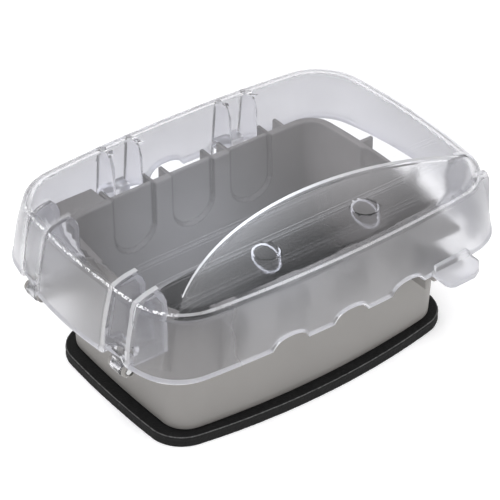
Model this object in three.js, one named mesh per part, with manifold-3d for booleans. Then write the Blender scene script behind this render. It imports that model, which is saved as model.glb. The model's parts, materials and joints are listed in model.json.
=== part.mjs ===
// Clear while-in-use weather cover for a one-gang GFCI outlet, lying on its wall gasket.
// Millimetres. +Z is out of the wall, +X the long axis, and -Y the side with the finger tab.
import * as THREE from 'three';
import { mergeVertices } from 'three/addons/utils/BufferGeometryUtils.js';
import Module from 'manifold-3d';

const wasm = await Module();
wasm.setup();

// ---- driving dimensions ----------------------------------------------------------------

// Outlines: half sizes on the axes, how far the long and short sides bow out, corner radius.
const GASKET = { halfLength: 63.8, halfWidth: 42.6, longBow: 7.4, shortBow: 2.3, corner: 14 };
const FOOT = { halfLength: 59.0, halfWidth: 38.6, longBow: 5.2, shortBow: 1.6, corner: 10 };
const RIM = { halfLength: 59.6, halfWidth: 39.0, longBow: 0.5, shortBow: 2.6, corner: 10 };
const LID_EDGE = { halfLength: 79.3, halfWidth: 54.9, longBow: 4.8, shortBow: 9.4, corner: 18.5 };
const LID_SHOULDER = { halfLength: 74.7, halfWidth: 52.7, longBow: 5.2, shortBow: 5.6, corner: 21.5 };

const GAP = 0.3; // between pieces that touch
const GASKET_THICKNESS = 4.2;
const BASE_BOTTOM = GASKET_THICKNESS + GAP;
const FLOOR_THICKNESS = 2.5;
const FLOOR_TOP = BASE_BOTTOM + FLOOR_THICKNESS;
const RIM_HEIGHT = 52.6;
const BASE_WALL = 3.0;

const LID_BOTTOM = 41.8;
const SHOULDER_HEIGHT = 65.2;
const LID_TOP = 70.0;
const LID_WALL = 2.2;
const LENS_HEIGHT = 69.0;
const LENS_CENTRE = { x: 8.0, y: -124.4 };
const LENS_RADIUS = 107.5;

const CORD_PITCH = 25.4; // one inch between cord openings
const CORD_WIDTH = 14.2;
const CORD_HEIGHT = 3.8;
const KNOCKOUT_PITCH = 25.9;
const KNOCKOUT_WIDTH = 17.7;
const KNOCKOUT_DEPTH = 24.6;
const KNOCKOUT_SKIN = 1.1;

const HINGE_OFFSET = 25.6; // each hinge from the middle of its side
const HINGE_AXIS = { x: -74.6, z: 38.5 };
const KNUCKLE_RADIUS = 2.8;
const EAR_RADIUS = 2.4;
const PIN_RADIUS = 1.1;
const PIN_LENGTH = 9.4;
const RIB_SPACING = 11.8;
const RIB_THICKNESS = 2.0;
const ARM_THICKNESS = 1.5;
const ARM_OFFSET = 3.85;
const LID_KNUCKLE_WIDTH = 5.6;

const DEVICE_OPENING = { length: 67.0, width: 33.6, corner: 3 };
const PLATE_SCREW_PITCH = 96.8;

const ARC_STEPS = 40; // sides of a full round

// ---- outlines and solids -----------------------------------------------------------------

// A rounded rectangle whose four sides are shallow arcs, anticlockwise from the +X axis.
function barrelOutline(shape, inset = 0) {
  const halfLength = shape.halfLength - inset;
  const halfWidth = shape.halfWidth - inset;
  const corner = Math.max(shape.corner - inset, 1);
  const longRadius = (halfLength ** 2 + shape.longBow ** 2) / (2 * shape.longBow);
  const shortRadius = (halfWidth ** 2 + shape.shortBow ** 2) / (2 * shape.shortBow);
  const longCentre = new THREE.Vector2(0, halfWidth - longRadius);
  const shortCentre = new THREE.Vector2(halfLength - shortRadius, 0);
  // The corner's centre is at (radius - corner) from both side centres.
  const toShort = shortCentre.clone().sub(longCentre);
  const apart = toShort.length();
  const reachLong = longRadius - corner;
  const reachShort = shortRadius - corner;
  const along = (apart ** 2 + reachLong ** 2 - reachShort ** 2) / (2 * apart);
  const across = Math.sqrt(reachLong ** 2 - along ** 2);
  toShort.normalize();
  const cornerCentre = new THREE.Vector2(toShort.y, -toShort.x).multiplyScalar(across)
    .addScaledVector(toShort, along).add(longCentre);
  const shortEnd = cornerCentre.clone().sub(shortCentre).angle();
  const longStart = cornerCentre.clone().sub(longCentre).angle();
  const quarter = [
    ...arcPoints(shortCentre, shortRadius, 0, shortEnd, 3),
    ...arcPoints(cornerCentre, corner, shortEnd, longStart, 6),
    ...arcPoints(longCentre, longRadius, longStart, Math.PI / 2, 5),
  ];
  quarter.push(new THREE.Vector2(0, halfWidth));
  const mirrored = quarter.slice(1, -1).reverse().map((p) => new THREE.Vector2(-p.x, p.y));
  const upper = [...quarter, ...mirrored];
  const lower = upper.map((p) => new THREE.Vector2(-p.x, -p.y));
  return [...upper, ...lower];
}

// Points of an arc, without its last one.
function arcPoints(centre, radius, from, to, steps) {
  const points = [];
  for (let step = 0; step < steps; step += 1) {
    const angle = from + ((to - from) * step) / steps;
    points.push(new THREE.Vector2(Math.cos(angle), Math.sin(angle)).multiplyScalar(radius).add(centre));
  }
  return points;
}

function mixShapes(a, b, amount) {
  const mixed = {};
  for (const key of Object.keys(a)) {
    mixed[key] = THREE.MathUtils.lerp(a[key], b[key], amount);
  }
  return mixed;
}

// A closed body through outlines that have the same number of points, lowest first.
function loft(rings) {
  const count = rings[0].outline.length;
  const positions = [];
  const index = [];
  for (const ring of rings) {
    for (const point of ring.outline) {
      positions.push(point.x, point.y, ring.z);
    }
  }
  const bottomCentre = rings.length * count;
  const topCentre = bottomCentre + 1;
  positions.push(0, 0, rings[0].z, 0, 0, rings.at(-1).z);
  for (let i = 0; i < count; i += 1) {
    const next = (i + 1) % count;
    index.push(bottomCentre, next, i);
    for (let level = 0; level < rings.length - 1; level += 1) {
      const low = level * count;
      const high = low + count;
      index.push(low + i, low + next, high + next, low + i, high + next, high + i);
    }
    const top = (rings.length - 1) * count;
    index.push(topCentre, top + i, top + next);
  }
  const geometry = new THREE.BufferGeometry();
  geometry.setAttribute('position', new THREE.Float32BufferAttribute(positions, 3));
  geometry.setIndex(index);
  return solid(geometry);
}

function solid(geometry) {
  const bare = geometry.clone();
  bare.deleteAttribute('normal');
  bare.deleteAttribute('uv');
  const merged = mergeVertices(bare, 1e-4);
  return new wasm.Manifold(new wasm.Mesh({
    numProp: 3,
    vertProperties: merged.attributes.position.array,
    triVerts: new Uint32Array(merged.index.array),
  }));
}

function node(name, body, material) {
  const mesh = body.getMesh();
  const geometry = new THREE.BufferGeometry();
  geometry.setAttribute('position', new THREE.BufferAttribute(new Float32Array(mesh.vertProperties), 3));
  geometry.setIndex([...mesh.triVerts]);
  geometry.computeVertexNormals();
  const object = new THREE.Mesh(geometry, material);
  object.name = name;
  return object;
}

// A box between two opposite corners.
function box(low, high) {
  const size = new THREE.Vector3().subVectors(high, low);
  const middle = new THREE.Vector3().addVectors(low, high).multiplyScalar(0.5);
  return solid(new THREE.BoxGeometry(size.x, size.y, size.z).translate(middle.x, middle.y, middle.z));
}

function upright(x, y, radius, low, high, sides = ARC_STEPS) {
  const geometry = new THREE.CylinderGeometry(radius, radius, high - low, sides);
  geometry.rotateX(Math.PI / 2).translate(x, y, (low + high) / 2);
  return solid(geometry);
}

// A round bar along Y.
function crossBar(x, y, z, radius, length, sides = 28) {
  return solid(new THREE.CylinderGeometry(radius, radius, length, sides).translate(x, y, z));
}

// A plate in the XZ plane, centred on y, from a shape drawn in X and Z.
function uprightPlate(points, y, thickness) {
  const outline = points.map(([x, z]) => new THREE.Vector2(x, z));
  const geometry = new THREE.ExtrudeGeometry(new THREE.Shape(outline), {
    depth: thickness, bevelEnabled: false,
  });
  geometry.rotateX(Math.PI / 2).translate(0, y + thickness / 2, 0);
  return solid(geometry);
}

function roundedRectangle(length, width, corner) {
  const x = length / 2;
  const y = width / 2;
  const shape = new THREE.Shape();
  shape.moveTo(x, -y + corner);
  shape.absarc(x - corner, y - corner, corner, 0, Math.PI / 2);
  shape.absarc(-x + corner, y - corner, corner, Math.PI / 2, Math.PI);
  shape.absarc(-x + corner, -y + corner, corner, Math.PI, 1.5 * Math.PI);
  shape.absarc(x - corner, -y + corner, corner, 1.5 * Math.PI, 2 * Math.PI);
  return shape;
}

function slab(shape, low, high) {
  const geometry = new THREE.ExtrudeGeometry(shape, {
    depth: high - low, bevelEnabled: false, curveSegments: 6,
  });
  return solid(geometry.translate(0, 0, low));
}

function joined(bodies) {
  return bodies.reduce((whole, body) => whole.add(body));
}

// ---- wall gasket ---------------------------------------------------------------------------

const BOX_OPENING = { length: 76, width: 52, corner: 7 };

function makeWallGasket() {
  const sheet = loft([
    { outline: barrelOutline(GASKET), z: 0 },
    { outline: barrelOutline(GASKET), z: GASKET_THICKNESS },
  ]);
  const { length, width, corner } = BOX_OPENING;
  return sheet.subtract(slab(roundedRectangle(length, width, corner), -1, GASKET_THICKNESS + 1));
}

// The middle of the foam is only cut round, and stays in place until the cover is fitted.
function makeGasketKnockout() {
  const { length, width, corner } = BOX_OPENING;
  const outline = roundedRectangle(length - 2 * GAP, width - 2 * GAP, corner - GAP);
  return slab(outline, 0, GASKET_THICKNESS);
}

// ---- base housing --------------------------------------------------------------------------

const FIN_REACH = 5.5;
const FIN_DROP = 24;
const FIN_THICKNESS = 1.5;
const FIN_SPACING = 7.4; // the two fins of a pair, one at each edge of a pilaster
const FIN_ROOT = 1.5; // how far a fin runs into the wall
// The walls lean, so a fin starts a little inside the rim's half size.
const FIN_WALL = { long: RIM.halfWidth - 0.6, short: RIM.halfLength - 0.8 };
const PANEL_OFFSETS = [-KNOCKOUT_PITCH, 0, KNOCKOUT_PITCH];

// The tub's outline at a height: bowed at the foot and nearly straight at the rim.
function tubOutline(z, inset) {
  const amount = (z - BASE_BOTTOM) / (RIM_HEIGHT - BASE_BOTTOM);
  return barrelOutline(mixShapes(FOOT, RIM, amount), inset);
}

function tubBody(low, high, inset) {
  const middle = (low + high) / 2;
  return loft([low, middle, high].map((z) => ({ outline: tubOutline(z, inset), z })));
}

// A U-shaped pocket that leaves a thin panel to break out, cut into the wall from inside.
function knockoutPocket(along, turn, wallFace) {
  const half = KNOCKOUT_WIDTH / 2;
  const bottom = RIM_HEIGHT - KNOCKOUT_DEPTH;
  const shape = new THREE.Shape();
  shape.moveTo(-half, RIM_HEIGHT + 1);
  shape.lineTo(-half, bottom + half);
  shape.absarc(0, bottom + half, half, Math.PI, 2 * Math.PI);
  shape.lineTo(half, RIM_HEIGHT + 1);
  const depth = BASE_WALL + 2;
  const geometry = new THREE.ExtrudeGeometry(shape, { depth, bevelEnabled: false, curveSegments: 9 });
  geometry.rotateX(Math.PI / 2).translate(along, wallFace - KNOCKOUT_SKIN, 0).rotateZ(turn);
  return solid(geometry);
}

// A triangular fin that stands out from the wall, level with the rim.
function fin(along, turn, wallFace) {
  const shape = new THREE.Shape([
    new THREE.Vector2(wallFace - FIN_ROOT, RIM_HEIGHT),
    new THREE.Vector2(wallFace - FIN_ROOT, RIM_HEIGHT - FIN_DROP),
    new THREE.Vector2(wallFace, RIM_HEIGHT - FIN_DROP),
    new THREE.Vector2(wallFace + FIN_REACH, RIM_HEIGHT - FIN_DROP / 3),
    new THREE.Vector2(wallFace + FIN_REACH, RIM_HEIGHT),
  ]);
  const geometry = new THREE.ExtrudeGeometry(shape, { depth: FIN_THICKNESS, bevelEnabled: false });
  geometry.rotateX(Math.PI / 2).rotateZ(Math.PI / 2).translate(along - FIN_THICKNESS / 2, 0, 0);
  return solid(geometry.rotateZ(turn));
}

const ARM_ROOT = { x: -57.6, low: 30.5, high: 40.9 };
const ARM_BOTTOM = HINGE_AXIS.z - EAR_RADIUS;
const ARM_FLAT = 9; // the level part of an arm's lower edge, in from the pin

// Two thin cheeks that carry the pin at both sides of the lid's knuckle.
function hingeArms(y) {
  const cheeks = [-ARM_OFFSET, ARM_OFFSET].map((side) => {
    const web = uprightPlate([
      [ARM_ROOT.x, ARM_ROOT.low],
      [ARM_ROOT.x, ARM_ROOT.high],
      [HINGE_AXIS.x, ARM_ROOT.high],
      [HINGE_AXIS.x, ARM_BOTTOM],
      [HINGE_AXIS.x + ARM_FLAT, ARM_BOTTOM],
    ], y + side, ARM_THICKNESS);
    const ear = crossBar(HINGE_AXIS.x, y + side, HINGE_AXIS.z, EAR_RADIUS, ARM_THICKNESS);
    return web.add(ear);
  });
  const bore = crossBar(HINGE_AXIS.x, y, HINGE_AXIS.z, PIN_RADIUS + GAP, RIB_SPACING, 20);
  return joined(cheeks).subtract(bore);
}

const CATCH = { left: 37, right: 51, high: 41.4, reach: -54.5, root: -36, thickness: 2 };
const CATCH_WEB = { reach: -50.5, low: 33.6, high: 40.4 };

// A shelf under the finger tab, with two webs to the wall.
function catchShelf() {
  const shelf = box(
    new THREE.Vector3(CATCH.left, CATCH.reach, CATCH.high - CATCH.thickness),
    new THREE.Vector3(CATCH.right, CATCH.root, CATCH.high),
  );
  const webs = [CATCH.left, CATCH.right - CATCH.thickness].map((x) => box(
    new THREE.Vector3(x, CATCH_WEB.reach, CATCH_WEB.low),
    new THREE.Vector3(x + CATCH.thickness, CATCH.root, CATCH_WEB.high),
  ));
  return joined([shelf, ...webs]);
}

const SHELF = { inner: 37, reach: 47.5, left: -53.5, right: -36.5, low: 50.4 };

// A flat shelf level with the rim, outside one long wall near its corner.
function cornerShelf(turn) {
  const shelf = box(
    new THREE.Vector3(SHELF.left, SHELF.inner, SHELF.low),
    new THREE.Vector3(SHELF.right, SHELF.reach, RIM_HEIGHT),
  );
  return shelf.rotate([0, 0, turn]);
}

const FLOOR_OPENING = { length: 74, width: 50, corner: 6 };
const SCREW_HOLE_RADIUS = 2.05;
const POCKET_FACE = { long: RIM.halfWidth - 0.4, short: RIM.halfLength };

function makeBaseHousing() {
  const tub = tubBody(BASE_BOTTOM, RIM_HEIGHT, 0);
  const extras = [catchShelf(), cornerShelf(0), cornerShelf(180)];
  for (const y of [-HINGE_OFFSET, HINGE_OFFSET]) {
    extras.push(hingeArms(y));
  }
  const pilasters = [-1.5, -0.5, 0.5, 1.5].map((place) => place * KNOCKOUT_PITCH);
  for (const turn of [0, Math.PI]) {
    for (const x of pilasters) {
      for (const side of [-FIN_SPACING / 2, FIN_SPACING / 2]) {
        extras.push(fin(x + side, turn, FIN_WALL.long));
      }
    }
  }
  for (const turn of [Math.PI / 2, -Math.PI / 2]) {
    for (const y of [-KNOCKOUT_PITCH / 2, KNOCKOUT_PITCH / 2]) {
      extras.push(fin(y, turn, FIN_WALL.short));
    }
  }
  let body = joined([tub, ...extras]);
  body = body.subtract(tubBody(FLOOR_TOP, RIM_HEIGHT + 1, BASE_WALL));
  for (const turn of [0, Math.PI]) {
    for (const x of PANEL_OFFSETS) {
      body = body.subtract(knockoutPocket(x, turn, POCKET_FACE.long));
    }
  }
  for (const turn of [Math.PI / 2, -Math.PI / 2]) {
    body = body.subtract(knockoutPocket(0, turn, POCKET_FACE.short));
  }
  const { length, width, corner } = FLOOR_OPENING;
  body = body.subtract(slab(roundedRectangle(length, width, corner), BASE_BOTTOM - 1, FLOOR_TOP + 1));
  for (const x of [-PLATE_SCREW_PITCH / 2, PLATE_SCREW_PITCH / 2]) {
    body = body.subtract(upright(x, 0, SCREW_HOLE_RADIUS, BASE_BOTTOM - 1, FLOOR_TOP + 1, 24));
  }
  return body;
}

// ---- adapter plate, device gasket and plate screws ------------------------------------------

const PLATE = { halfLength: 54.4, halfWidth: 33.0, longBow: 3.6, shortBow: 1.2, corner: 8 };
const PLATE_THICKNESS = 2.2;
const PLATE_BOTTOM = FLOOR_TOP + GAP;
const PLATE_TOP = PLATE_BOTTOM + PLATE_THICKNESS;
const FOAM_THICKNESS = 1.6;
const FOAM_BOTTOM = PLATE_TOP + GAP;
const FOAM_TOP = FOAM_BOTTOM + FOAM_THICKNESS;
const SCREW_SHANK_RADIUS = 1.75;
const SCREW_HEAD_RADIUS = 3.3;
const SCREW_HEAD_HEIGHT = 2.2;

// A sheet shaped like the plate, drawn in by `inset`, with its device opening grown to match.
function flatSheet({ inset, low, high, screwHole }) {
  let body = loft([low, high].map((z) => ({ outline: barrelOutline(PLATE, inset), z })));
  const { length, width, corner } = DEVICE_OPENING;
  const opening = roundedRectangle(length + 2 * inset, width + 2 * inset, corner);
  body = body.subtract(slab(opening, low - 1, high + 1));
  for (const x of [-PLATE_SCREW_PITCH / 2, PLATE_SCREW_PITCH / 2]) {
    body = body.subtract(upright(x, 0, screwHole, low - 1, high + 1, 24));
  }
  return body;
}

function makeAdapterPlate() {
  return flatSheet({ inset: 0, low: PLATE_BOTTOM, high: PLATE_TOP, screwHole: SCREW_HOLE_RADIUS });
}

function makeDeviceGasket() {
  const screwHole = SCREW_HEAD_RADIUS + 0.5;
  return flatSheet({ inset: 1.5, low: FOAM_BOTTOM, high: FOAM_TOP, screwHole });
}

const SLOT = { halfLength: 2.4, halfWidth: 0.45, depth: 1 };

function makePlateScrew(x) {
  const headBottom = PLATE_TOP + GAP;
  const headTop = headBottom + SCREW_HEAD_HEIGHT;
  const shankBottom = BASE_BOTTOM + GAP;
  const rounding = SCREW_HEAD_HEIGHT / 3;
  const profile = [
    [0, shankBottom],
    [SCREW_SHANK_RADIUS - 0.5, shankBottom],
    [SCREW_SHANK_RADIUS, shankBottom + 0.8],
    [SCREW_SHANK_RADIUS, headBottom],
    [SCREW_HEAD_RADIUS, headBottom],
    [SCREW_HEAD_RADIUS, headTop - 2 * rounding],
    [SCREW_HEAD_RADIUS - rounding / 2, headTop - rounding / 2],
    [SCREW_HEAD_RADIUS - 2 * rounding, headTop],
    [0, headTop],
  ].map(([radius, z]) => new THREE.Vector2(radius, z));
  const turned = new THREE.LatheGeometry(profile, 28).rotateX(Math.PI / 2).translate(x, 0, 0);
  const slot = box(
    new THREE.Vector3(x - SLOT.halfLength, -SLOT.halfWidth, headTop - SLOT.depth),
    new THREE.Vector3(x + SLOT.halfLength, SLOT.halfWidth, headTop + SLOT.depth),
  );
  return solid(turned).subtract(slot);
}

// ---- clear lid -------------------------------------------------------------------------------

// Outer rings from the shoulder up: how far in, and how high.
const SHOULDER_RINGS = [
  { inset: 0, z: SHOULDER_HEIGHT },
  { inset: 0.4, z: 66.3 },
  { inset: 1.2, z: 67.2 },
  { inset: 2.5, z: 67.9 },
  { inset: 7.0, z: 68.9 },
  { inset: 13.0, z: 69.6 },
  { inset: 20.0, z: LID_TOP },
];
const BEAD = { reach: 0.5, height: 1.6 };
const BELLY = 0.6; // how far the skirt swells between its edge and the shoulder

function skirtOutline(z, inset) {
  const amount = (z - LID_BOTTOM) / (SHOULDER_HEIGHT - LID_BOTTOM);
  return barrelOutline(mixShapes(LID_EDGE, LID_SHOULDER, amount), inset);
}

function lidOuter() {
  const beadTop = LID_BOTTOM + BEAD.height;
  const waist = (beadTop + SHOULDER_HEIGHT) / 2;
  return loft([
    { outline: skirtOutline(LID_BOTTOM, -BEAD.reach), z: LID_BOTTOM },
    { outline: skirtOutline(beadTop, -BEAD.reach), z: beadTop },
    { outline: skirtOutline(beadTop, 0), z: beadTop + BEAD.reach },
    { outline: skirtOutline(waist, -BELLY), z: waist },
    ...SHOULDER_RINGS.map(({ inset, z }) => ({ outline: skirtOutline(SHOULDER_HEIGHT, inset), z })),
  ]);
}

function lidInner() {
  const waist = (LID_BOTTOM + SHOULDER_HEIGHT) / 2;
  return loft([
    { outline: skirtOutline(LID_BOTTOM - 2, LID_WALL), z: LID_BOTTOM - 2 },
    { outline: skirtOutline(waist, LID_WALL - BELLY), z: waist },
    ...SHOULDER_RINGS.map(({ inset, z }) => ({
      outline: skirtOutline(SHOULDER_HEIGHT, LID_WALL + inset),
      z: z - LID_WALL,
    })),
  ]);
}

function lensDisc(low) {
  return upright(LENS_CENTRE.x, LENS_CENTRE.y, LENS_RADIUS, low, LID_TOP + 5, 180);
}

const LID_KNUCKLE_WEB_TOP = 48.5;
const NOTCH_TOP = 44.6;
const KNUCKLE_INSET = 4.5; // the hinge axis, in from the lid's edge
const RIB_CHAMFER = { low: 62.5, inward: 3.5 };
const RIB_TOP = LID_TOP + 1; // trimmed later by the lid's own outer surface
const KNUCKLE_WEB_HALF = 4.2;
const NOTCH_MARGIN = { outside: 8, inside: 6 };

// Each hinge place: two house-shaped ribs inside the skirt, and a knuckle between them.
// It is drawn on the -X side, with its inner edge at ribEnd, then turned onto its own side.
function hingeRibs(place) {
  const ribs = [-RIB_SPACING / 2, RIB_SPACING / 2].map((side) => uprightPlate([
    [-place.reach - NOTCH_MARGIN.outside, LID_BOTTOM],
    [-place.ribEnd, LID_BOTTOM],
    [-place.ribEnd, RIB_CHAMFER.low],
    [-place.ribEnd - RIB_CHAMFER.inward, RIB_TOP],
    [-place.reach - NOTCH_MARGIN.outside, RIB_TOP],
  ], place.along + side, RIB_THICKNESS));
  return joined(ribs).rotate([0, 0, place.turn]);
}

function hingeKnuckle(place, envelope) {
  const axis = -place.axis;
  const web = uprightPlate([
    [axis - KNUCKLE_RADIUS, HINGE_AXIS.z],
    [axis + KNUCKLE_RADIUS, HINGE_AXIS.z],
    [axis + KNUCKLE_WEB_HALF, LID_KNUCKLE_WEB_TOP],
    [axis - KNUCKLE_WEB_HALF, LID_KNUCKLE_WEB_TOP],
  ], place.along, LID_KNUCKLE_WIDTH);
  const barrel = crossBar(axis, place.along, HINGE_AXIS.z, KNUCKLE_RADIUS, LID_KNUCKLE_WIDTH);
  const tie = uprightPlate([
    [axis - KNUCKLE_WEB_HALF, NOTCH_TOP],
    [axis + KNUCKLE_WEB_HALF, NOTCH_TOP],
    [axis + KNUCKLE_WEB_HALF, LID_KNUCKLE_WEB_TOP],
    [axis - KNUCKLE_WEB_HALF, LID_KNUCKLE_WEB_TOP],
  ], place.along, RIB_SPACING);
  const hanging = joined([web, tie]).rotate([0, 0, place.turn]).intersect(envelope);
  return hanging.add(barrel.rotate([0, 0, place.turn]));
}

function hingeNotch(place) {
  const half = (RIB_SPACING - RIB_THICKNESS) / 2;
  return box(
    new THREE.Vector3(-place.reach - NOTCH_MARGIN.outside, place.along - half, HINGE_AXIS.z),
    new THREE.Vector3(-place.reach + NOTCH_MARGIN.inside, place.along + half, NOTCH_TOP),
  ).rotate([0, 0, place.turn]);
}

function hingeBore(place) {
  const bore = crossBar(-place.axis, place.along, HINGE_AXIS.z, PIN_RADIUS + GAP, LID_KNUCKLE_WIDTH + 2, 20);
  return bore.rotate([0, 0, place.turn]);
}

// The lid's outer shape, carried straight down below its edge, to trim the knuckles with.
function knuckleEnvelope() {
  const edge = skirtOutline(LID_BOTTOM, -BEAD.reach);
  const below = loft([
    { outline: edge, z: HINGE_AXIS.z - KNUCKLE_RADIUS },
    { outline: edge, z: LID_BOTTOM + BEAD.height },
  ]);
  return below.add(lidOuter());
}

// The pinned pair on -X, a spare pair on +Y and one spare place at the near end of +X.
const SHORT_SIDE = { reach: LID_EDGE.halfLength, ribEnd: 60.0, axis: -HINGE_AXIS.x };
const LONG_SIDE = { reach: LID_EDGE.halfWidth, ribEnd: 40.6, axis: LID_EDGE.halfWidth - KNUCKLE_INSET };
const HINGE_PLACES = [
  { ...SHORT_SIDE, along: -HINGE_OFFSET, turn: 0 },
  { ...SHORT_SIDE, along: HINGE_OFFSET, turn: 0 },
  { ...LONG_SIDE, along: -HINGE_OFFSET, turn: -90 },
  { ...LONG_SIDE, along: HINGE_OFFSET, turn: -90 },
  { reach: 75.5, ribEnd: 61.0, axis: 70.2, along: 37.5, turn: 180 },
];

// Three on the front edge, and one between the spare hinge places on the back edge.
const CORD_OPENINGS = [
  { x: -CORD_PITCH, side: -1 },
  { x: 0, side: -1 },
  { x: CORD_PITCH, side: -1 },
  { x: 0, side: 1 },
];

// A cord opening in the lid's lower edge: half an ellipse, cut straight through a long side.
const ARCH_INNER = 43; // how far from the middle line the cut starts

function cordArch(x, side) {
  const shape = new THREE.Shape();
  shape.absellipse(x, LID_BOTTOM, CORD_WIDTH / 2, CORD_HEIGHT, 0, 2 * Math.PI);
  const depth = LID_EDGE.halfWidth + LID_EDGE.longBow - ARCH_INNER;
  const geometry = new THREE.ExtrudeGeometry(shape, { depth, bevelEnabled: false, curveSegments: 12 });
  const back = side > 0 ? ARCH_INNER + depth : -ARCH_INNER;
  return solid(geometry.rotateX(Math.PI / 2).translate(0, back, 0));
}

const TAB = { left: 36.4, right: 54.2, reach: -63.8, root: -50, low: 41.8, high: 44.0 };
// How much each corner of the tab is cut back along X and Y; the right one in two steps.
const TAB_LEFT_CUT = 2.2;
const TAB_RIGHT_CUTS = [{ x: 6.4, y: 0 }, { x: 3.4, y: 1.6 }, { x: 0, y: 5.4 }];
const TAB_RAIL = { margin: 1, outer: -55.2, inner: -50.6, low: 43.5, high: 46.2 };

function fingerTab() {
  const outline = new THREE.Shape([
    new THREE.Vector2(TAB.left, TAB.root),
    new THREE.Vector2(TAB.left, TAB.reach + TAB_LEFT_CUT),
    new THREE.Vector2(TAB.left + TAB_LEFT_CUT, TAB.reach),
    ...TAB_RIGHT_CUTS.map(({ x, y }) => new THREE.Vector2(TAB.right - x, TAB.reach + y)),
    new THREE.Vector2(TAB.right, TAB.root),
  ]);
  const rail = box(
    new THREE.Vector3(TAB.left + TAB_RAIL.margin, TAB_RAIL.outer, TAB_RAIL.low),
    new THREE.Vector3(TAB.right - TAB_RAIL.margin, TAB_RAIL.inner, TAB_RAIL.high),
  );
  return slab(outline, TAB.low, TAB.high).add(rail);
}

const LENS_BOSSES = [{ x: -21.9, y: -35.7 }, { x: 20.6, y: -35.7 }];
const BOSS = { outer: 4.9, inner: 4.3, middle: 64.3, slope: 0.5 };

// A thin round tube hanging under the lens, its lower end cut on a slope that drops towards the front.
function lensBoss({ x, y }) {
  const underside = LENS_HEIGHT - LID_WALL;
  const lowest = BOSS.middle - BOSS.outer;
  const tube = upright(x, y, BOSS.outer, lowest, underside + 0.5, 32);
  const hollow = upright(x, y, BOSS.inner, lowest - 1, underside, 32);
  const size = 4 * BOSS.outer;
  const cutter = new THREE.BoxGeometry(size, size, size).translate(0, 0, -size / 2);
  cutter.rotateX(Math.atan(BOSS.slope)).translate(x, y, BOSS.middle);
  return tube.subtract(hollow).subtract(solid(cutter));
}

function makeCoverLid() {
  const outer = lidOuter().subtract(lensDisc(LENS_HEIGHT));
  const inner = lidInner().subtract(lensDisc(LENS_HEIGHT - LID_WALL));
  const inside = outer.intersect(joined(HINGE_PLACES.map(hingeRibs)));
  let body = joined([outer.subtract(inner), inside, fingerTab().subtract(inner)]);
  for (const place of HINGE_PLACES) {
    body = body.subtract(hingeNotch(place));
  }
  const envelope = knuckleEnvelope();
  body = joined([body, ...HINGE_PLACES.map((place) => hingeKnuckle(place, envelope))]);
  for (const place of HINGE_PLACES) {
    body = body.subtract(hingeBore(place));
  }
  for (const { x, side } of CORD_OPENINGS) {
    body = body.subtract(cordArch(x, side));
  }
  return joined([body, ...LENS_BOSSES.map(lensBoss)]);
}

// ---- hinge pins ------------------------------------------------------------------------------

function makeHingePin(y) {
  return crossBar(HINGE_AXIS.x, y, HINGE_AXIS.z, PIN_RADIUS, PIN_LENGTH, 24);
}

// ---- assembly --------------------------------------------------------------------------------

function material(color, roughness, metalness) {
  return new THREE.MeshStandardMaterial({ color, roughness, metalness });
}

const foam = material(0x1d1d1e, 0.95, 0);
const greyPlastic = material(0x8e8b86, 0.5, 0);
const blackPlastic = material(0x2b2b2c, 0.6, 0);
const clearPlastic = material(0xdfe1e6, 0.12, 0);
const steel = material(0xb9bbbd, 0.3, 1);

const cover = new THREE.Group();
cover.add(node('wall_gasket', makeWallGasket(), foam));
cover.add(node('gasket_knockout', makeGasketKnockout(), foam));
cover.add(node('base_housing', makeBaseHousing(), greyPlastic));
cover.add(node('adapter_plate', makeAdapterPlate(), blackPlastic));
cover.add(node('device_gasket', makeDeviceGasket(), foam));
cover.add(node('plate_screw_left', makePlateScrew(-PLATE_SCREW_PITCH / 2), steel));
cover.add(node('plate_screw_right', makePlateScrew(PLATE_SCREW_PITCH / 2), steel));
cover.add(node('hinge_pin_near', makeHingePin(-HINGE_OFFSET), steel));
cover.add(node('hinge_pin_far', makeHingePin(HINGE_OFFSET), steel));
cover.add(node('cover_lid', makeCoverLid(), clearPlastic));

// The origin is the middle of the whole cover's footprint; only the tab makes it uneven.
const middle = new THREE.Box3().setFromObject(cover).getCenter(new THREE.Vector3());
for (const piece of cover.children) {
  piece.geometry.translate(0, -middle.y, 0);
}

export default cover;
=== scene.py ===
import json
import math

import bmesh
import bpy
import numpy as np
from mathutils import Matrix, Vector
from mathutils.geometry import delaunay_2d_cdt


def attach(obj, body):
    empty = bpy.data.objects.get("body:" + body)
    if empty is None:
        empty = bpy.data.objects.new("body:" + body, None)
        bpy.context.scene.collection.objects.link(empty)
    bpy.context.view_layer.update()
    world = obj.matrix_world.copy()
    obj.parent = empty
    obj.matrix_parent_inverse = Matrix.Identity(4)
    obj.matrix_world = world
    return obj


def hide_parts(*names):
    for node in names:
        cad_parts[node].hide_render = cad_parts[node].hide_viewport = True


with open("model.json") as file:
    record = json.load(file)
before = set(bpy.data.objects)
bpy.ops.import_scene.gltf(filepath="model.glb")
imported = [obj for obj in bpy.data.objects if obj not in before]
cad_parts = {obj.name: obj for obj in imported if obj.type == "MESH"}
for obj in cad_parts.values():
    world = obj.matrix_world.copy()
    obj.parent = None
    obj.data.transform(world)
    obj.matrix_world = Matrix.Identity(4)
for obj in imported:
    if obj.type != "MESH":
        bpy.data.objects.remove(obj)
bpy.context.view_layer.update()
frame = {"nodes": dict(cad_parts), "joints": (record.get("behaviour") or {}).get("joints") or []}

# ---- sizes, in millimetres, as in the CAD ----

MM = 0.001
SHIFT_Y = 1000 * frame["joints"][0]["pos_m"][1]  # the CAD moves everything by this along Y

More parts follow.
